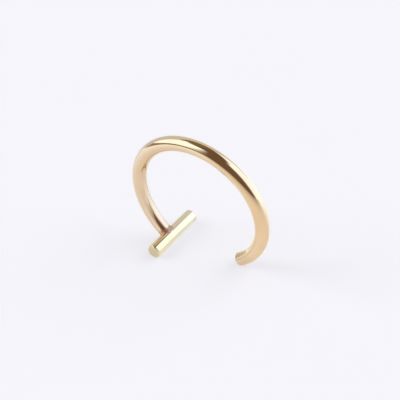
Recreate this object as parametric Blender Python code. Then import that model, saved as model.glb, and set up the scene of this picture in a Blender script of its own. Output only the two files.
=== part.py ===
import math

import bmesh
import bpy
import numpy as np

# Open hoop for the lip: one round wire bent into a C, with a short round bar soldered across one end.
# Metres, +Z up. It stands on the bar and on the cut edge of the wire's free end.
# The bar lies along Y. The wire rises from it on the -X side, goes over the top and comes down at +X.

MM = 0.001

WIRE_RADIUS = 0.51 * MM  # 18 gauge round wire, 1.02 mm thick
BAR_RADIUS = 0.53 * MM
BAR_LENGTH = 4.9 * MM

# The wire's centre line: a straight root inside the bar, then three arcs that run into each other.
ROOT_LENGTH = 0.37 * MM
LEG_RADIUS, LEG_SWEEP = 5.22 * MM, math.radians(69.5)
CROWN_RADIUS, CROWN_SWEEP = 5.0 * MM, math.radians(155.3)
TIP_RADIUS, TIP_SWEEP = 4.76 * MM, math.radians(56.8)

LEAN = math.radians(4.0)  # the hoop's plane leans this far from upright, its top towards -Y
WIRE_OFFSET = 0.3 * MM  # the wire meets the bar this far from its middle, towards -Y
ROOT_SHIFT = 0.02 * MM  # and its centre line passes this far outside the bar's axis

ROOT_THINNING = 0.70  # thickness of the wire's buried start, in wire thicknesses
SOLDER_FLARE = 1.07  # thickness of wire and solder where they leave the bar
SOLDER_HEIGHT = 0.40 * MM
EDGE_ROUNDING = 0.07 * MM  # eased edges of the three cut ends
EDGE_STEPS = 3

SAMPLE_LENGTH = 0.26 * MM  # between cross-sections along the arcs
ROOT_SAMPLES = 11
WIRE_SIDES_LEVEL = 5  # bevel_resolution of the wire's round section
BAR_SIDES = 36
JOIN_LIMIT = 0.001 * MM
SHARP_ANGLE = math.radians(40)

GOLD_COLOUR = (0.83, 0.58, 0.28, 1.0)
GOLD_ROUGHNESS = 0.16

STRETCHES = (
    (ROOT_LENGTH, 0.0),
    (LEG_RADIUS * LEG_SWEEP, 1 / LEG_RADIUS),
    (CROWN_RADIUS * CROWN_SWEEP, 1 / CROWN_RADIUS),
    (TIP_RADIUS * TIP_SWEEP, 1 / TIP_RADIUS),
)
WIRE_LENGTH = sum(length for length, _ in STRETCHES)


def clear_scene():
    for old in list(bpy.data.objects):
        bpy.data.objects.remove(old, do_unlink=True)
    for old in list(bpy.data.collections):
        bpy.data.collections.remove(old)


def new_collection(name):
    made = bpy.data.collections.new(name)
    bpy.context.scene.collection.children.link(made)
    return made


def gold_material():
    made = bpy.data.materials.new("polished_yellow_gold")
    made.use_nodes = True
    shader = made.node_tree.nodes["Principled BSDF"]
    shader.inputs["Base Color"].default_value = GOLD_COLOUR
    shader.inputs["Metallic"].default_value = 1.0
    shader.inputs["Roughness"].default_value = GOLD_ROUGHNESS
    made.diffuse_color = GOLD_COLOUR
    return made


def heading(angle):
    return np.stack([np.cos(angle), np.sin(angle)], axis=-1)


def centre_line(run, start_angle):
    """Points (x, z) and headings at these lengths along the wire, in the hoop's plane, from the bar's axis."""
    point = ROOT_SHIFT * heading(start_angle + math.pi / 2)
    angle, begun = start_angle, 0.0
    points, angles = np.zeros((len(run), 2)), np.zeros(len(run))
    for length, curvature in STRETCHES:
        here = run >= begun
        # an arc's chord lies half its turn away from the heading at its start
        along = np.append(run[here] - begun, length)
        half_turn = curvature * along / 2
        chord = along * np.sinc(half_turn / math.pi)
        reached = point + chord[:, None] * heading(angle - half_turn)
        points[here], angles[here] = reached[:-1], angle - 2 * half_turn[:-1]
        point, angle, begun = reached[-1], angle - curvature * length, begun + length
    return points, angles


def sample_lengths():
    """Where the cross-sections are: close together at the solder and along the free end's eased edge."""
    solder_end = BAR_RADIUS + SOLDER_HEIGHT
    edge_start = WIRE_LENGTH - EDGE_ROUNDING
    count = round((edge_start - solder_end) / SAMPLE_LENGTH)
    edge = edge_start + EDGE_ROUNDING * np.sin(np.linspace(0, math.pi / 2, EDGE_STEPS + 1))
    return np.concatenate(
        [np.linspace(0, solder_end, ROOT_SAMPLES), np.linspace(solder_end, edge_start, count)[1:-1], edge]
    )


def section_radius(run):
    """Thinner inside the bar, a concave flare of solder where the wire leaves it, a round edge at the cut."""
    root = np.interp(run, (0, ROOT_LENGTH), (ROOT_THINNING, 1))
    flare = 1 + (SOLDER_FLARE - 1) * (1 - np.clip((run - BAR_RADIUS) / SOLDER_HEIGHT, 0, 1)) ** 2
    into_edge = np.clip(run - (WIRE_LENGTH - EDGE_ROUNDING), 0, EDGE_ROUNDING)
    eased = EDGE_ROUNDING - np.sqrt(EDGE_ROUNDING**2 - into_edge**2)
    return WIRE_RADIUS * root * flare - eased


def leaned(run, start_angle):
    """The centre line in space, on the bar that lies on the floor, and its directions."""
    flat, angles = centre_line(run, start_angle)
    rise = np.array([0, -math.sin(LEAN), math.cos(LEAN)])
    points = flat[:, :1] * (1, 0, 0) + flat[:, 1:] * rise + (0, -WIRE_OFFSET, BAR_RADIUS)
    ahead = heading(angles)
    return points, ahead[:, :1] * (1, 0, 0) + ahead[:, 1:] * rise


def free_end_height(start_angle):
    run = sample_lengths()
    points, ahead = leaned(run, start_angle)
    lowest = points[:, 2] - section_radius(run) * np.sqrt(1 - ahead[:, 2] ** 2)
    return lowest[run > WIRE_LENGTH / 2].min()


def resting_angle():
    """The heading at the bar with which the free end just touches the floor, found by halving."""
    low, high = math.radians(110), math.radians(160)
    for _ in range(50):
        middle = (low + high) / 2
        if free_end_height(middle) > 0:
            high = middle
        else:
            low = middle
    return (low + high) / 2


def wire_curve(run, points, collection):
    data = bpy.data.curves.new("wire", "CURVE")
    data.dimensions = "3D"
    data.bevel_depth = WIRE_RADIUS
    data.bevel_resolution = WIRE_SIDES_LEVEL
    data.use_fill_caps = True
    spline = data.splines.new("POLY")
    spline.points.add(len(run) - 1)
    spline.points.foreach_set("co", np.column_stack([points, np.ones(len(run))]).ravel())
    spline.points.foreach_set("radius", section_radius(run) / WIRE_RADIUS)
    made = bpy.data.objects.new("wire_curve", data)
    collection.objects.link(made)
    return made


def mesh_of_curve(curve, name, collection):
    """The curve as one closed mesh. Its caps come loose, so their edges are merged with the sides'."""
    bpy.context.view_layer.update()
    evaluated = curve.evaluated_get(bpy.context.evaluated_depsgraph_get())
    mesh = bpy.data.meshes.new_from_object(evaluated)
    shape = bmesh.new()
    shape.from_mesh(mesh)
    bmesh.ops.remove_doubles(shape, verts=shape.verts, dist=JOIN_LIMIT)
    bmesh.ops.recalc_face_normals(shape, faces=shape.faces)
    shape.to_mesh(mesh)
    shape.free()
    mesh.name = name
    made = bpy.data.objects.new(name, mesh)
    made.matrix_world = curve.matrix_world
    collection.objects.link(made)
    bpy.data.objects.remove(curve, do_unlink=True)
    return made


def cross_bar(x, collection):
    """The bar along Y, resting on the floor, with its end edges eased."""
    shape = bmesh.new()
    bmesh.ops.create_cone(
        shape, cap_ends=True, segments=BAR_SIDES, radius1=BAR_RADIUS, radius2=BAR_RADIUS, depth=BAR_LENGTH
    )
    rims = [edge for edge in shape.edges if abs(edge.verts[0].co.z - edge.verts[1].co.z) < JOIN_LIMIT]
    bmesh.ops.bevel(
        shape, geom=rims, offset=EDGE_ROUNDING, segments=EDGE_STEPS, profile=0.5, affect="EDGES"
    )
    mesh = bpy.data.meshes.new("lip_ring")
    shape.to_mesh(mesh)
    shape.free()
    made = bpy.data.objects.new("lip_ring", mesh)
    made.rotation_euler = (math.pi / 2, 0, 0)
    made.location = (x, 0, BAR_RADIUS)
    collection.objects.link(made)
    return made


def main():
    clear_scene()
    ring_parts = new_collection("lip_ring")
    joined_in = new_collection("joined_in")

    run = sample_lengths()
    points, ahead = leaned(run, resting_angle())
    reach = section_radius(run) * np.sqrt(1 - ahead[:, 0] ** 2)
    middle = ((points[:, 0] - reach).min() + (points[:, 0] + reach).max()) / 2
    points[:, 0] -= middle

    wire = mesh_of_curve(wire_curve(run, points, joined_in), "wire", joined_in)
    wire.hide_render = True
    wire.display_type = "WIRE"

    ring = cross_bar(-middle, ring_parts)
    ring.data.materials.append(gold_material())
    solder = ring.modifiers.new("solder", "BOOLEAN")
    solder.operation = "UNION"
    solder.solver = "EXACT"
    solder.object = wire
    ring.data.shade_smooth()
    ring.data.set_sharp_from_angle(angle=SHARP_ANGLE)
    wire.data.shade_smooth()
    wire.data.set_sharp_from_angle(angle=SHARP_ANGLE)


main()
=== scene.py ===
import math

import bpy
import numpy as np
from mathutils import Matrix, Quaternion, Vector


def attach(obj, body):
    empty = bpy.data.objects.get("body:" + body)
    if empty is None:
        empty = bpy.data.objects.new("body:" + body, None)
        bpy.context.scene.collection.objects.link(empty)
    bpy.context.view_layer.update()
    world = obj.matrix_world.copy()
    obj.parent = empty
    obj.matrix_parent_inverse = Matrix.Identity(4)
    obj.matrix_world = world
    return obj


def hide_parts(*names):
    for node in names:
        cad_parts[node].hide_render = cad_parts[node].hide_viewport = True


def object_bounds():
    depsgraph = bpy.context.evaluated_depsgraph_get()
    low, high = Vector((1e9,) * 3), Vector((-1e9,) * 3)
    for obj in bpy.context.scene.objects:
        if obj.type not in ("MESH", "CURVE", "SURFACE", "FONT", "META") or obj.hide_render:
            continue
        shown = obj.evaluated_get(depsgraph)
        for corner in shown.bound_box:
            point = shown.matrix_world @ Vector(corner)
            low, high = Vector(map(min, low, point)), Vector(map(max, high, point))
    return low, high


# Open hoop of round gold wire with a short cross bar soldered across one end. It stands on the bar and on
# the wire's free end. Wire, bar and solder are three surfaces here, and together stand for one solid.
# Everything is in metres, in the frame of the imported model: +X from the bar towards the free end, +Y along
# the bar, +Z up.

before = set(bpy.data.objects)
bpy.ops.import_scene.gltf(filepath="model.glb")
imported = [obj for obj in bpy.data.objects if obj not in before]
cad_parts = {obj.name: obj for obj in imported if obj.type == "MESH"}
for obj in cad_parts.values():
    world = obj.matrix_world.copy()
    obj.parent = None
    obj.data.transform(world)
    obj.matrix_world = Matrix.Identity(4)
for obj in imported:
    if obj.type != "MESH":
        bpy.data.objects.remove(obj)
cadLow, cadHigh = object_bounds()
mm = 0.001
hair = 1e-6 * mm  # a length too small to show
cutSlot, polishedSlot = 1, 0  # material slots of every piece
print("frame loaded:", [round((high - low) / mm, 2) for low, high in zip(cadLow, cadHigh)], "mm")


# mesh helpers

def gridMesh(name, points, uv, slots, loop=False):
    # points[row, column] is a surface that closes round its columns. With loop it closes round its rows
    # too, and otherwise each end is a fan to the middle of its last row. uv has one column more than points,
    # and slots gives the material of each gap between two rows.
    rows, columns, _ = points.shape
    index = np.arange(rows * columns).reshape(rows, columns)
    index = np.vstack([index, index[:1]]) if loop else index
    after = np.roll(index, -1, axis=1)
    vertices = points.reshape(-1, 3)
    faces = np.stack([index[:-1], after[:-1], after[1:], index[1:]], axis=-1).reshape(-1, 4).tolist()
    faceUv = [np.stack([uv[:-1, :-1], uv[:-1, 1:], uv[1:, 1:], uv[1:, :-1]], axis=2).reshape(-1, 2)]
    faceSlots = [np.repeat(slots, columns)]
    if not loop:
        vertices = np.vstack([vertices, points[0].mean(axis=0), points[-1].mean(axis=0)])
        firstMiddle, lastMiddle = np.full(columns, rows * columns), np.full(columns, rows * columns + 1)
        faces += np.stack([after[0], index[0], firstMiddle], axis=-1).tolist()
        faces += np.stack([index[-1], after[-1], lastMiddle], axis=-1).tolist()
        faceUv.append(np.stack([uv[0, 1:], uv[0, :-1], uv[0, :-1]], axis=1).reshape(-1, 2))
        faceUv.append(np.stack([uv[-1, :-1], uv[-1, 1:], uv[-1, :-1]], axis=1).reshape(-1, 2))
        faceSlots.append(np.repeat([slots[0], slots[-1]], columns))
    mesh = bpy.data.meshes.new(name)
    mesh.from_pydata(vertices.tolist(), [], faces)
    mesh.uv_layers.new(name="along").data.foreach_set("uv", np.vstack(faceUv).astype(np.float32).ravel())
    mesh.polygons.foreach_set("material_index", np.concatenate(faceSlots).astype(np.int32))
    mesh.shade_smooth()
    mesh.update()
    piece = bpy.data.objects.new(name, mesh)
    bpy.context.scene.collection.objects.link(piece)
    return piece


faceRings = (0.05, 0.5, 0.9, 0.97, 0.995)  # rings on a flat end, as shares of its radius


def endProfile(radius, easing, steps):
    # distances in from the cut, and radii, of a flat end with a round edge: the rings on the flat face, then
    # a quarter circle whose radius is easing, given from the middle of the face outwards.
    turn = np.linspace(0, math.pi / 2, steps)
    flat = np.array(faceRings) * (radius - easing)
    edgeIn = easing * (1 - np.cos(turn))
    edgeRadius = radius - easing * (1 - np.sin(turn))
    return np.concatenate([np.zeros(len(flat)), edgeIn]), np.concatenate([flat, edgeRadius])


# hoop wire; the bar's sizes come first, because the wire starts inside it

bar = dict(
    thickness=1.06 * mm,
    length=cadHigh.y - cadLow.y,
    easing=0.07 * mm,  # of the edges of its two ends
    sides=112,
    rows=60,
    edgeRows=9,
)
hoop = dict(
    thickness=1.01 * mm,  # 18 gauge wire, polished
    rootLength=0.37 * mm,  # straight, inside the bar
    rootShift=0.02 * mm,  # its centre line passes this far outside the bar's axis
    rootThinning=0.70,  # thickness at the bar's axis, as a share of the wire's
    arcs=((5.22 * mm, 69.5), (5.0 * mm, 155.3), (4.76 * mm, 56.8)),  # radius and turn in degrees
    lean=4.0,  # degrees from upright, the top towards -Y
    offset=0.3 * mm,  # from the bar's middle, towards -Y
    easing=0.07 * mm,  # of the cut end's edge
    sides=80,
    rows=520,
    edgeRows=9,
    stray=0.0006,  # how far the drawn section is from round, as a share of its radius
    strayTurn=900,  # radians of its wave for each metre along the wire
    finePoints=6001,  # that the centre line is added up over
    trialStarts=(128, 139, 111),  # tried for the resting angle: from and to, in degrees, and how many
    trialFrom=0.9,  # the free end's lowest point is past this share of the length
    trialRows=60,
)

wireRadius, barRadius = hoop["thickness"] / 2, bar["thickness"] / 2
arcLengths = [radius * math.radians(turn) for radius, turn in hoop["arcs"]]
stops = np.cumsum([0, hoop["rootLength"], *arcLengths])
turned = np.radians(np.cumsum([0, 0, *[turn for _, turn in hoop["arcs"]]]))
wireLength = stops[-1]
leanAngle = math.radians(hoop["lean"])
rise = np.array([0, -math.sin(leanAngle), math.cos(leanAngle)])
sideways = np.array([0, -math.cos(leanAngle), -math.sin(leanAngle)])  # square to the hoop's plane


def flatCentreLine(run):
    # heading is minus the turn so far, which grows evenly along each arc; the point is the running sum of
    # short steps along that heading, from rootShift beside the bar's axis, where the wire sets out along +x.
    fine = np.linspace(0, wireLength, hoop["finePoints"])
    heading = -np.interp(fine, stops, turned)
    middle = (heading[1:] + heading[:-1]) / 2
    step = np.diff(fine)
    x = np.concatenate([[0], np.cumsum(step * np.cos(middle))])
    z = hoop["rootShift"] + np.concatenate([[0], np.cumsum(step * np.sin(middle))])
    return np.interp(run, fine, x), np.interp(run, fine, z), -np.interp(run, stops, turned)


def centreLine(run, start):
    # the flat centre line turned by start about the bar's axis, then laid out along +X and the leaning
    # rise; also the outward direction, which is square to the wire in the hoop's plane.
    x, z, heading = flatCentreLine(run)
    across, up = x * math.cos(start) - z * math.sin(start), x * math.sin(start) + z * math.cos(start)
    points = across[:, None] * (1, 0, 0) + up[:, None] * rise + (0, -hoop["offset"], barRadius)
    outward = -np.sin(heading + start)[:, None] * (1, 0, 0) + np.cos(heading + start)[:, None] * rise
    return points, outward


def restingStart():
    # the start angle with which the free end's lowest point is at height 0: lowest height for each trial
    # angle, read back at height 0. A section's lowest point is radius * sqrt(1 - climb^2) below its middle.
    cutIn, cutRadius = endProfile(wireRadius, hoop["easing"], hoop["trialRows"])
    body = np.linspace(wireLength * hoop["trialFrom"], wireLength - hoop["easing"], hoop["trialRows"])
    run = np.concatenate([body, wireLength - cutIn])
    radius = np.concatenate([np.full(len(body), wireRadius), cutRadius])
    x, z, heading = flatCentreLine(run)
    starts = np.radians(np.linspace(*hoop["trialStarts"]))[:, None]
    up = x * np.sin(starts) + z * np.cos(starts)
    climb = np.sin(heading + starts) * rise[2]
    lowest = (barRadius + up * rise[2] - radius * np.sqrt(1 - climb**2)).min(axis=1)
    return float(np.interp(0, lowest, starts[:, 0]))


def makeHoop():
    # point(run, angle) = centre(run) + radius(run) * (cos(angle) * outward + sin(angle) * sideways);
    # radius tapers inside the bar, strays a little from round and follows a round edge at the cut. The
    # whole is then moved along X to the middle of the CAD model's box.
    start = restingStart()
    cutIn, cutRadius = endProfile(wireRadius, hoop["easing"], hoop["edgeRows"])
    body = np.linspace(0, wireLength - hoop["easing"], hoop["rows"])
    run = np.concatenate([body[:-1], wireLength - cutIn[::-1]])
    radius = np.concatenate([np.full(hoop["rows"] - 1, wireRadius), cutRadius[::-1]])
    radius *= np.interp(run, (0, hoop["rootLength"]), (hoop["rootThinning"], 1))
    angle = np.linspace(0, 2 * math.pi, hoop["sides"] + 1)
    centre, outward = centreLine(run, start)
    stray = 1 + hoop["stray"] * np.cos(2 * angle[None] + hoop["strayTurn"] * run[:, None])
    size = radius[:, None] * stray
    around = np.cos(angle)[None, :, None] * outward[:, None] + np.sin(angle)[None, :, None] * sideways
    points = centre[:, None] + size[..., None] * around
    uv = np.stack(np.broadcast_arrays(run[:, None] / mm, angle[None] * wireRadius / mm), axis=-1)
    slots = np.where(run[1:] > wireLength - hair, cutSlot, polishedSlot)
    low, high = points[..., 0].min(), points[..., 0].max()
    shift = (cadLow.x + cadHigh.x) / 2 - (low + high) / 2
    points[..., 0] += shift
    return gridMesh("hoop_wire", points[:, :-1], uv, slots), start, shift


hoopWire, startAngle, barX = makeHoop()
print("hoop wire:", round(wireLength / mm, 2), "mm long, from", round(math.degrees(startAngle), 2), "degrees")


# cross bar

def makeBar():
    # a turned profile: point(place, angle) = axis(place) + radius(place) * (cos(angle) * up + sin(angle) * x)
    cutIn, cutRadius = endProfile(barRadius, bar["easing"], bar["edgeRows"])
    half = bar["length"] / 2
    straight = np.linspace(-half + bar["easing"], half - bar["easing"], bar["rows"])[1:-1]
    place = np.concatenate([-half + cutIn, straight, half - cutIn[::-1]])
    radius = np.concatenate([cutRadius, np.full(len(straight), barRadius), cutRadius[::-1]])
    angle = np.linspace(0, 2 * math.pi, bar["sides"] + 1)
    around = np.stack([np.sin(angle), np.zeros(len(angle)), np.cos(angle)], axis=-1)
    points = radius[:, None, None] * around + place[:, None, None] * (0, 1, 0)
    points += (barX, 0, barRadius)
    uv = np.stack(np.broadcast_arrays(place[:, None] / mm, angle[None] * barRadius / mm), axis=-1)
    atEnd = np.abs(place) > half - hair
    slots = np.where(atEnd[1:] & atEnd[:-1], cutSlot, polishedSlot)
    return gridMesh("cross_bar", points[:, :-1], uv, slots)


crossBar = makeBar()
print("cross bar:", round(bar["length"] / mm, 2), "mm long")


# solder seam

seam = dict(
    fillet=0.17 * mm,  # radius of the hollow corner that the solder fills
    sunk=0.05 * mm,  # how deep its hidden side lies in the metal
    leastTurn=0.001,  # radians; the hollow's arc is taken to turn at least this much
    sides=144,
    rows=12,
)


def makeSeam():
    # a ball of the fillet's radius rolls round the corner between wire and bar. At each angle round the
    # wire its middle is at wire radius + fillet from the wire's line and bar radius + fillet from the
    # bar's line, which gives a quadratic in the height up the wire. The hollow surface is the ball's arc
    # between where it touches the two, and the loop is closed inside the metal. All of it is worked out with
    # the bar's axis over the origin, and then moved to the bar.
    fillet = seam["fillet"]
    angle = np.linspace(0, 2 * math.pi, seam["sides"] + 1)
    root, outward = centreLine(np.array([barRadius]), startAngle)
    outward = outward[0]
    wireWay = np.cross(sideways, outward)
    wireWay = wireWay if wireWay @ rise > 0 else -wireWay
    spoke = np.cos(angle)[:, None] * outward + np.sin(angle)[:, None] * sideways
    base = root[0] + (wireRadius + fillet) * spoke
    barAxis = (0, 0, barRadius)
    squareToBar = np.array([1.0, 0, 1.0])  # takes away what runs along the bar
    fromBar = (base - barAxis) * squareToBar
    along = wireWay * squareToBar
    a, b = along @ along, fromBar @ along
    c = (fromBar**2).sum(axis=1) - (barRadius + fillet) ** 2
    height = (-b + np.sqrt(np.maximum(b**2 - a * c, 0))) / a
    ball = base + height[:, None] * wireWay
    toBar = (ball - barAxis) * squareToBar
    toBar /= np.linalg.norm(toBar, axis=1)[:, None]
    between = np.arccos(np.clip((spoke * toBar).sum(axis=1), -1, 1))
    share = np.linspace(0, 1, seam["rows"])[:, None, None]
    wide = np.maximum(between, seam["leastTurn"])[None, :, None]
    arc = (np.sin((1 - share) * wide) * spoke + np.sin(share * wide) * toBar) / np.sin(wide)
    hollow = ball - fillet * arc
    wireSide = ball - (fillet + seam["sunk"]) * spoke
    barSide = ball - (fillet + seam["sunk"]) * toBar
    points = np.concatenate([hollow, barSide[None], wireSide[None]])
    points[..., 0] += barX
    rounds = np.linspace(0, 1, len(points) + 1) * fillet / mm
    uv = np.stack(np.broadcast_arrays(rounds[:, None], angle[None] * wireRadius / mm), axis=-1)
    slots = np.full(len(points), polishedSlot)
    return gridMesh("solder_seam", points[:, :-1], uv, slots, loop=True)


solderSeam = makeSeam()
print("solder seam:", round(seam["fillet"] / mm, 2), "mm fillet")


# shader helpers; a value given to them is either a node's output or a plain number

def wired(tree, socket, value):
    if isinstance(value, bpy.types.NodeSocket):
        tree.links.new(value, socket)
    else:
        socket.default_value = value


def maths(tree, operation, *values):
    node = tree.nodes.new("ShaderNodeMath")
    node.operation = operation
    for socket, value in zip(node.inputs, values):
        wired(tree, socket, value)
    return node.outputs["Value"]


def ranged(tree, value, fromLow, fromHigh, toLow=0.0, toHigh=1.0, smooth=False):
    # value carried from one range to another, and held at the ends of it
    node = tree.nodes.new("ShaderNodeMapRange")
    node.interpolation_type = "SMOOTHSTEP" if smooth else "LINEAR"
    limits = {"From Min": fromLow, "From Max": fromHigh, "To Min": toLow, "To Max": toHigh}
    for name, number in limits.items():
        node.inputs[name].default_value = number
    wired(tree, node.inputs["Value"], value)
    return node.outputs["Result"]


def softStep(tree, value, middle, softness, toLow=0.0, toHigh=1.0):
    # from toLow to toHigh over a stretch of value as long as softness
    return ranged(tree, value, middle - softness / 2, middle + softness / 2, toLow, toHigh, smooth=True)


def window(tree, value, low, high):
    # 1 between two soft edges, and 0 outside them; an edge is (middle, softness)
    return maths(tree, "MULTIPLY", softStep(tree, value, *low), softStep(tree, value, *high, 1, 0))


def blended(tree, factor, one, other):
    # a colour that is one at factor 0 and other at factor 1
    node = tree.nodes.new("ShaderNodeMix")
    node.data_type = "RGBA"
    for name, value in (("Factor", factor), ("A", one), ("B", other)):
        socket = next(each for each in node.inputs if each.name == name and each.enabled)
        wired(tree, socket, (*value, 1) if isinstance(value, tuple) else value)
    return next(each for each in node.outputs if each.enabled)


def scaled(tree, colour, factor):
    node = tree.nodes.new("ShaderNodeVectorMath")
    node.operation = "SCALE"
    tree.links.new(colour, node.inputs[0])
    wired(tree, node.inputs["Scale"], factor)
    return node.outputs["Vector"]


def noise(tree, vector, scale, detail=2.0, rough=0.5, stretch=(1, 1, 1)):
    mapping = tree.nodes.new("ShaderNodeMapping")
    mapping.inputs["Scale"].default_value = stretch
    texture = tree.nodes.new("ShaderNodeTexNoise")
    for name, number in (("Scale", scale), ("Detail", detail), ("Roughness", rough)):
        texture.inputs[name].default_value = number
    tree.links.new(vector, mapping.inputs["Vector"])
    tree.links.new(mapping.outputs["Vector"], texture.inputs["Vector"])
    return texture.outputs["Fac"]


def bumped(tree, height, distance, strength, under=None):
    # relief as a bump, on top of the one that is under it
    node = tree.nodes.new("ShaderNodeBump")
    node.inputs["Distance"].default_value = distance
    node.inputs["Strength"].default_value = strength
    tree.links.new(height, node.inputs["Height"])
    if under:
        tree.links.new(under, node.inputs["Normal"])
    return node.outputs["Normal"]


def separated(tree, vector):
    node = tree.nodes.new("ShaderNodeSeparateXYZ")
    tree.links.new(vector, node.inputs["Vector"])
    return node.outputs


def returning(tree, ray, otherwise, amount):
    # amount for light that reaches the floor by way of the metal, and otherwise for all other light
    matt = maths(tree, "GREATER_THAN", ray.outputs["Diffuse Depth"], 0.5)  # once it has met the floor
    thrown = maths(tree, "MULTIPLY", matt, ray.outputs["Is Glossy Ray"])
    return ranged(tree, thrown, 0, 1, otherwise, amount)


def newMaterial(name):
    made = bpy.data.materials.new(name)
    made.use_nodes = True
    tree = made.node_tree
    return made, tree, tree.nodes["Principled BSDF"], tree.nodes.new("ShaderNodeTexCoord")


# gold finishes

# The tint runs from one to the other along the named axis, between the two places of span in mm, or from
# one side of the ring to the other. On the wire, the bar and the cut faces that run is painted light: the
# wire warmer and brighter towards its free end and the bar paler towards its far end are painted reflection,
# and the cut faces darker at the bar's ends than at the free end are painted shade. On the solder it is its
# own colour. rough is the range of roughness. heat is the tint left by the soldering torch, whose ends are
# where it stops along the wire in mm on either side, with a soft edge. filed is the last stretch of the
# wire, rougher from the filing and darker by its shade, which is painted shade.
finishes = dict(
    wire=dict(axis="X", one=(0.81, 0.605, 0.395), other=(0.89, 0.655, 0.38), worn=0.95, rough=(0.06, 0.10),
              lines=0.10, scratch=0.12,
              heat=dict(one=(0.78, 0.42, 0.27), other=(0.48, 0.30, 0.17), span=(-0.75, -0.35), rough=0.36,
                        ends=(0.79, 0.64), softness=0.16),
              # the last stretch: rough from the filing, and shade is painted shade that darkens it
              filedAndShaded=dict(length=1.5, softness=0.7, rough=0.20, shade=0.94)),
    bar=dict(axis="Y", one=(0.84, 0.67, 0.37), other=(0.84, 0.71, 0.465), worn=0.96, rough=(0.06, 0.10),
             lines=0.10, scratch=0.15),
    solder=dict(axis="Y", one=(0.80, 0.46, 0.29), other=(0.72, 0.54, 0.37), span=(-0.75, -0.35), worn=0.85,
                rough=(0.36, 0.46), scratch=0.6),
    cut=dict(axis="X", one=(0.665, 0.565, 0.355), other=(0.80, 0.62, 0.38), worn=0.90, rough=(0.22, 0.34),
             scratch=0.5),
)

# Noises shared by the finishes. Scales are per metre of space, except that those of the drawing lines are
# per mm of the UV map.
grain = dict(
    drift=dict(scale=700, detail=3),
    smears=dict(scale=2600, detail=4, rough=0.6),
    ragged=dict(scale=3500, detail=2),
    scratches=dict(scale=9000, detail=2, rough=0.6, stretch=(1, 0.25, 1)),
    lines=dict(scale=1.0, detail=3, rough=0.6, stretch=(0.5, 22, 1)),
)
usual, steady = (0.3, 0.7), (0.35, 0.65)  # ranges that hold nearly all, or most, of a noise's values
raggedness = 0.08  # of the heat's and the filing's edges, in mm
relief = 0.0015 * mm  # depth of the scratches and drawing lines
grazingTint = (1.0, 0.98, 0.92, 1.0)


def goldMaterial(name, finish):
    # metal whose tint runs across the ring, as painted light on the wire, bar and cut faces, and drifts a
    # little over about a millimetre, smears of roughness, drawing lines along the wire on its UV map, and
    # short crossing polishing scratches
    made, tree, shader, place = newMaterial(name)
    shader.inputs["Metallic"].default_value = 1.0
    shader.inputs["Specular Tint"].default_value = grazingTint
    spot, unrolled = place.outputs["Object"], place.outputs["UV"]
    half = dict(X=cadHigh.x, Y=cadHigh.y)[finish["axis"]] / mm
    low, high = finish.get("span", (-half, half))
    across = ranged(tree, separated(tree, spot)[finish["axis"]], low * mm, high * mm)
    # the run across the ring: painted reflection and painted shade on the wire, bar and cut faces, and the
    # solder's own colour on the solder
    tintAndPaintedLight = blended(tree, across, finish["one"], finish["other"])
    colour = scaled(tree, tintAndPaintedLight, ranged(tree, noise(tree, spot, **grain["drift"]), *steady, 1, finish["worn"]))
    roughness = ranged(tree, noise(tree, spot, **grain["smears"]), *usual, *finish["rough"])
    if "heat" in finish:
        colour, roughness = wireEnds(tree, spot, unrolled, finish, colour, roughness)
    tree.links.new(colour, shader.inputs["Base Color"])
    tree.links.new(roughness, shader.inputs["Roughness"])
    surface = bumped(tree, noise(tree, spot, **grain["scratches"]), relief, finish["scratch"])
    if "lines" in finish:
        lines = noise(tree, unrolled, **grain["lines"])
        surface = bumped(tree, lines, relief, finish["lines"], under=surface)
    tree.links.new(surface, shader.inputs["Normal"])
    return made


def wireEnds(tree, spot, unrolled, finish, colour, roughness):
    # the wire's last stretch is filed, so rougher, and also darker, which is painted shade, and its first has
    # the torch's tint. Both go by the length along the wire in mm, which is the UV map's first value, made a
    # little ragged.
    heat, filedAndShaded = finish["heat"], finish["filedAndShaded"]
    ragged = ranged(tree, noise(tree, spot, **grain["ragged"]), *usual, -raggedness, raggedness)
    reached = maths(tree, "ADD", separated(tree, unrolled)["X"], ragged)
    filedAndShadedEnd = softStep(tree, reached, wireLength / mm - filedAndShaded["length"], filedAndShaded["softness"])
    # painted shade: the last stretch darkened by shade
    colour = scaled(tree, colour, ranged(tree, filedAndShadedEnd, 0, 1, 1, filedAndShaded["shade"]))
    roughness = maths(tree, "MULTIPLY_ADD", filedAndShadedEnd, filedAndShaded["rough"], roughness)

    (low, high), (end, otherEnd) = heat["span"], heat["ends"]
    torch = softStep(tree, separated(tree, spot)["Y"], (low + high) / 2 * mm, (high - low) * mm)
    further = maths(tree, "MULTIPLY_ADD", torch, end - otherEnd, reached)
    heated = softStep(tree, further, end, heat["softness"], 1, 0)
    colour = blended(tree, heated, colour, blended(tree, torch, heat["one"], heat["other"]))
    return colour, maths(tree, "MULTIPLY_ADD", heated, heat["rough"], roughness)


golds = {name: goldMaterial("gold_" + name, finish) for name, finish in finishes.items()}
for piece, finishName in ((hoopWire, "wire"), (crossBar, "bar"), (solderSeam, "solder")):
    piece.data.materials.append(golds[finishName])
    piece.data.materials.append(golds["cut"])
    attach(piece, "root")
    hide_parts("lip_ring")
print("gold finishes on 3 pieces")


# floor

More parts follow.
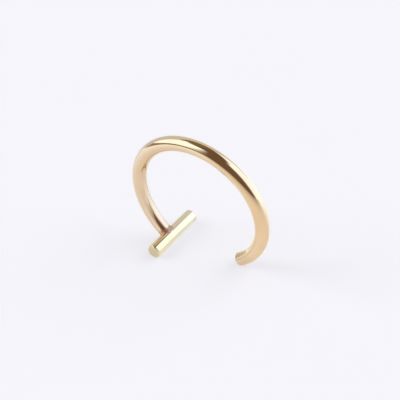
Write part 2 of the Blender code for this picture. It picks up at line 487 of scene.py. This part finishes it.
floorLook = dict(
    radius=0.7,
    rings=24,
    sides=96,
    innermost=0.002,  # the rings' distances are radius times the square of numbers from this to 1
    colour=(0.905, 0.898, 0.945),
    drift=dict(scale=90),  # of its tone, per metre
    darkest=0.985,  # that the drift makes it, as a share of its colour
    grain=dict(scale=3000),
    grainHeight=0.002 * mm,
    grainStrength=0.1,
    glow=(0.556, 0.551, 0.582),  # light that comes up through the sheet, which keeps the shadows faint
    returned=0.4,  # how much of the sheet's light comes back to it off the metal
    # A painted reflection that only the metal sees, standing in for gloss: its colour, and how steeply it
    # grows
    # towards grazing: first all round, then between two azimuths in degrees, then in two patches with edges
    # along X and Y in mm, the first in front of the bar and the second below the free end. An edge is
    # (middle, softness).
    around=dict(colour=(0.38, 0.33, 0.29), power=4.0),
    sectors=(
        dict(colour=(0.66, 0.82, 1.08), power=2.0, low=(-110, 30), high=(-20, 40)),
        dict(colour=(1.16, 1.34, 1.58), power=1.9, low=(-165, 30), high=(-85, 30)),
        dict(colour=(1.27, 1.66, 2.20), power=1.3, low=(-30, 40), high=(84, 50)),
    ),
    patches=(
        dict(colour=(1.25, 1.60, 2.20), power=1.0, x=((-3.6, 0.6), (-2.0, 0.8)), y=((-2.7, 1), (2.7, 1))),
        dict(colour=(1.05, 1.36, 1.85), power=1.5, x=((1.5, 1), (6.5, 2)), y=((-4.5, 2), (0, 1.5))),
    ),
)


def makeFloor():
    # rings of points: point(distance, angle) = distance * (cos(angle), sin(angle), 0)
    rings, sides = floorLook["rings"], floorLook["sides"]
    distance = floorLook["radius"] * np.linspace(floorLook["innermost"], 1, rings) ** 2
    angle = np.linspace(0, 2 * math.pi, sides + 1)[:-1]
    x, y = distance[:, None] * np.cos(angle), distance[:, None] * np.sin(angle)
    points = np.stack([x, y, np.zeros_like(x)], axis=-1).reshape(-1, 3)
    index = np.arange(rings * sides).reshape(rings, sides)
    after = np.roll(index, -1, axis=1)
    quads = np.stack([index[:-1], index[1:], after[1:], after[:-1]], axis=-1).reshape(-1, 4)
    mesh = bpy.data.meshes.new("floor")
    mesh.from_pydata(points.tolist(), [], quads.tolist() + [index[0].tolist()])
    made = bpy.data.objects.new("floor", mesh)
    bpy.context.scene.collection.objects.link(made)
    mesh.materials.append(floorMaterial())


def floorMaterial():
    # a pale matt sheet with fine grain and a faint drift in its tone. The metal also sees a painted
    # reflection on it, an emission standing in for gloss, which grows towards grazing angles as a power of
    # Facing and has the colour that floorLook gives for the place.
    made, tree, shader, place = newMaterial("pale_sheet")
    spot = place.outputs["Object"]
    shader.inputs["Specular IOR Level"].default_value = 0.0
    shader.inputs["Emission Color"].default_value = (*floorLook["glow"], 1)
    shader.inputs["Emission Strength"].default_value = 1.0
    pale = floorLook["colour"]
    darker = tuple(floorLook["darkest"] * part for part in pale)
    tone = blended(tree, noise(tree, spot, **floorLook["drift"]), pale, darker)
    tree.links.new(tone, shader.inputs["Base Color"])
    height = noise(tree, spot, **floorLook["grain"])
    surface = bumped(tree, height, floorLook["grainHeight"], floorLook["grainStrength"])
    tree.links.new(surface, shader.inputs["Normal"])

    # painted reflection: colour and power by azimuth and by place, seen only by glossy rays
    parts = separated(tree, spot)
    azimuth = maths(tree, "DEGREES", maths(tree, "ARCTAN2", parts["X"], parts["Y"]))
    x, y = (maths(tree, "DIVIDE", parts[axis], mm) for axis in "XY")
    regions = [(look, window(tree, azimuth, look["low"], look["high"])) for look in floorLook["sectors"]]
    regions += [(look, maths(tree, "MULTIPLY", window(tree, x, *look["x"]), window(tree, y, *look["y"])))
                for look in floorLook["patches"]]
    paintedGlossColour, power = floorLook["around"]["colour"], floorLook["around"]["power"]
    for look, inside in regions:
        paintedGlossColour = blended(tree, inside, paintedGlossColour, look["colour"])
        power = maths(tree, "MULTIPLY_ADD", inside, maths(tree, "SUBTRACT", look["power"], power), power)
    paintedGloss = tree.nodes.new("ShaderNodeEmission")
    tree.links.new(paintedGlossColour, paintedGloss.inputs["Color"])
    layer, ray = tree.nodes.new("ShaderNodeLayerWeight"), tree.nodes.new("ShaderNodeLightPath")
    amount = maths(tree, "POWER", layer.outputs["Facing"], power)
    paintedGlossMix = tree.nodes.new("ShaderNodeMixShader")
    tree.links.new(maths(tree, "MULTIPLY", amount, ray.outputs["Is Glossy Ray"]), paintedGlossMix.inputs["Fac"])
    tree.links.new(shader.outputs["BSDF"], paintedGlossMix.inputs[1])
    tree.links.new(paintedGloss.outputs["Emission"], paintedGlossMix.inputs[2])
    dark, dimmed = tree.nodes.new("ShaderNodeEmission"), tree.nodes.new("ShaderNodeMixShader")
    dark.inputs["Strength"].default_value = 0.0
    tree.links.new(returning(tree, ray, 0, 1 - floorLook["returned"]), dimmed.inputs["Fac"])
    tree.links.new(paintedGlossMix.outputs["Shader"], dimmed.inputs[1])
    tree.links.new(dark.outputs["Emission"], dimmed.inputs[2])
    tree.links.new(dimmed.outputs["Shader"], tree.nodes["Material Output"].inputs["Surface"])
    return made


makeFloor()
print("floor laid")


# studio light: azimuths are from +Y towards +X, elevations above the horizon, all in degrees

lamps = dict(
    right=dict(azimuth=54, elevation=30, spread=64, strength=0.75),
    left=dict(azimuth=-113, elevation=34, spread=36, strength=0.50),
)

# Panels are seen only in the metal. The left and right edges are (place, slant, softness): place is where
# the light is at half strength at panelLevel, slant is how far that shifts per degree of elevation. The low
# and high edges are (place, softness).
panels = dict(
    back_wall=dict(left=(-142, 0, 20), right=(19, 0, 20), low=(-6, 3), high=(53, 4), distance=0.36,
                   colour=(0.73, 0.76, 0.84)),
    left_low=dict(left=(-168, 0, 12), right=(-98, 0, 14), low=(2, 3), high=(17, 4), distance=0.33,
                  colour=(0.33, 0.26, 0.17)),
    left_box=dict(left=(-163, -0.39, 26), right=(-91, 0.06, 3), low=(14.5, 1), high=(64.5, 7), distance=0.30,
                  colour=(1.28, 1.60, 1.93)),
    right_box=dict(left=(14, -0.12, 12), right=(101, 0.2, 28), low=(-6, 3), high=(55.5, 10), distance=0.30,
                   colour=(1.24, 1.47, 2.00)),
    top_left=dict(left=(-130, 0, 30), right=(10, 0, 40), low=(60, 6), high=(84, 6), distance=0.34,
                  colour=(0.21, 0.185, 0.10)),
)
panelLevel = 30  # elevation
panelReturned = 0.15  # strength of the panels in what the metal throws on the floor
panelGrid = dict(
    columns=49,
    rows=25,
    centre=(0, 0, 5 * mm),  # of the ball that each panel is a part of
    lowest=-0.5,  # elevations that it never goes beyond
    highest=89,
    above=10,  # degrees of room over its high edge
    slantRoom=50,  # degrees from panelLevel over which its slanted edges have room
)

# seen is behind everything, fill lights matt surfaces, room is in the metal's reflections, and again is in
# its reflections of reflections
backdrop = dict(seen=(0.924, 0.917, 0.968), fill=(0.20, 0.20, 0.20), room=(0.168, 0.112, 0.078),
                again=(0.40, 0.33, 0.26))


def direction(azimuth, elevation):
    # (sin(azimuth) * cos(elevation), cos(azimuth) * cos(elevation), sin(elevation))
    azimuth, elevation = np.radians(azimuth), np.radians(elevation)
    level = np.cos(elevation)
    return np.stack([np.sin(azimuth) * level, np.cos(azimuth) * level, np.sin(elevation)], axis=-1)


def makeLamp(name, lamp):
    data = bpy.data.lights.new(name, "SUN")
    data.energy = lamp["strength"]
    data.angle = math.radians(lamp["spread"])
    made = bpy.data.objects.new(name, data)
    towards = Vector(direction(lamp["azimuth"], lamp["elevation"]))
    made.rotation_euler = towards.to_track_quat("Z", "Y").to_euler()
    made.visible_glossy = False
    bpy.context.scene.collection.objects.link(made)


def panelMaterial(name, panel):
    # the light fades out over each soft edge: product of four smooth steps of azimuth and elevation,
    # which the UV map holds in degrees
    made, tree, shader, place = newMaterial(name)
    tree.nodes.remove(shader)
    parts = separated(tree, place.outputs["UV"])
    azimuth, elevation = parts["X"], parts["Y"]
    mask = window(tree, elevation, panel["low"], panel["high"])
    for side, ends in (("left", (0, 1)), ("right", (1, 0))):
        middle, slant, softness = panel[side]
        straight = maths(tree, "MULTIPLY_ADD", elevation, -slant, azimuth)
        edge = softStep(tree, straight, middle - panelLevel * slant, softness, *ends)
        mask = maths(tree, "MULTIPLY", mask, edge)
    glow = tree.nodes.new("ShaderNodeEmission")
    glow.inputs["Color"].default_value = (*panel["colour"], 1)
    ray = tree.nodes.new("ShaderNodeLightPath")
    tree.links.new(returning(tree, ray, 1, panelReturned), glow.inputs["Strength"])
    clear, blend = tree.nodes.new("ShaderNodeBsdfTransparent"), tree.nodes.new("ShaderNodeMixShader")
    tree.links.new(mask, blend.inputs["Fac"])
    tree.links.new(clear.outputs["BSDF"], blend.inputs[1])
    tree.links.new(glow.outputs["Emission"], blend.inputs[2])
    tree.links.new(blend.outputs["Shader"], tree.nodes["Material Output"].inputs["Surface"])
    return made


def makePanel(name, panel):
    # part of a ball round the ring: point(azimuth, elevation) = centre + distance * direction. It reaches as
    # far as its light does, with its soft edges and their slant.
    (left, leftSlant, leftSoftness), (right, rightSlant, rightSoftness) = panel["left"], panel["right"]
    left -= abs(leftSlant) * panelGrid["slantRoom"] + leftSoftness
    right += abs(rightSlant) * panelGrid["slantRoom"] + rightSoftness
    top = min(panel["high"][0] + panelGrid["above"], panelGrid["highest"])
    rows, columns = panelGrid["rows"], panelGrid["columns"]
    azimuth, elevation = np.meshgrid(np.linspace(left, right, columns),
                                     np.linspace(panelGrid["lowest"], top, rows))
    points = panel["distance"] * direction(azimuth, elevation) + panelGrid["centre"]
    index = np.arange(rows * columns).reshape(rows, columns)
    quads = np.stack([index[:-1, :-1], index[1:, :-1], index[1:, 1:], index[:-1, 1:]], axis=-1).reshape(-1, 4)
    mesh = bpy.data.meshes.new(name)
    mesh.from_pydata(points.reshape(-1, 3).tolist(), [], quads.tolist())
    degrees = np.stack([azimuth, elevation], axis=-1).reshape(-1, 2)[quads.ravel()]
    mesh.uv_layers.new(name="degrees").data.foreach_set("uv", degrees.astype(np.float32).ravel())
    mesh.materials.append(panelMaterial(name, panel))
    made = bpy.data.objects.new(name, mesh)
    made.visible_camera = made.visible_diffuse = made.visible_shadow = False
    bpy.context.scene.collection.objects.link(made)


def makeWorld():
    # the four colours of backdrop, and black in what the metal throws on the floor
    world = bpy.data.worlds.new("studio")
    bpy.context.scene.world = world
    world.use_nodes = True
    tree = world.node_tree
    tree.nodes.clear()
    ray = tree.nodes.new("ShaderNodeLightPath")
    second = maths(tree, "GREATER_THAN", ray.outputs["Glossy Depth"], 1.5)  # from the second mirroring on
    room = blended(tree, second, backdrop["room"], backdrop["again"])
    room = blended(tree, returning(tree, ray, 0, 1), room, (0.0, 0.0, 0.0))
    colour = blended(tree, ray.outputs["Is Glossy Ray"], backdrop["fill"], room)
    colour = blended(tree, ray.outputs["Is Camera Ray"], colour, backdrop["seen"])
    glow, output = tree.nodes.new("ShaderNodeBackground"), tree.nodes.new("ShaderNodeOutputWorld")
    tree.links.new(colour, glow.inputs["Color"])
    tree.links.new(glow.outputs["Background"], output.inputs["Surface"])


for name, lamp in lamps.items():
    makeLamp(name, lamp)
for name, panel in panels.items():
    makePanel(name, panel)
makeWorld()
print("lights:", len(lamps), "lamps,", len(panels), "panels")


# camera

view = dict(
    azimuth=38.88,  # degrees round the ring from the front, towards the free end
    elevation=34.12,
    roll=-9.04,
    distance=46.83 * mm,
    target=Vector((-0.008, -0.286, 4.679)) * mm,
    lens=61.18,  # mm on a 36 mm sensor
    clip=(1 * mm, 2.0),  # nearest and farthest that it sees
)


def makeCamera():
    azimuth, elevation = math.radians(view["azimuth"]), math.radians(view["elevation"])
    back = Vector((math.sin(azimuth) * math.cos(elevation), -math.cos(azimuth) * math.cos(elevation),
                   math.sin(elevation)))
    data = bpy.data.cameras.new("camera")
    data.lens = view["lens"]
    data.clip_start, data.clip_end = view["clip"]
    made = bpy.data.objects.new("camera", data)
    made.location = view["target"] + back * view["distance"]
    turn = back.to_track_quat("Z", "Y") @ Quaternion((0, 0, 1), math.radians(view["roll"]))
    made.rotation_euler = turn.to_euler()
    bpy.context.scene.collection.objects.link(made)
    bpy.context.scene.camera = made


makeCamera()
settings = bpy.context.scene.view_settings
settings.view_transform, settings.look = "Standard", "None"  # colours come out as they are lit
print("camera placed")

bpy.context.view_layer.update()
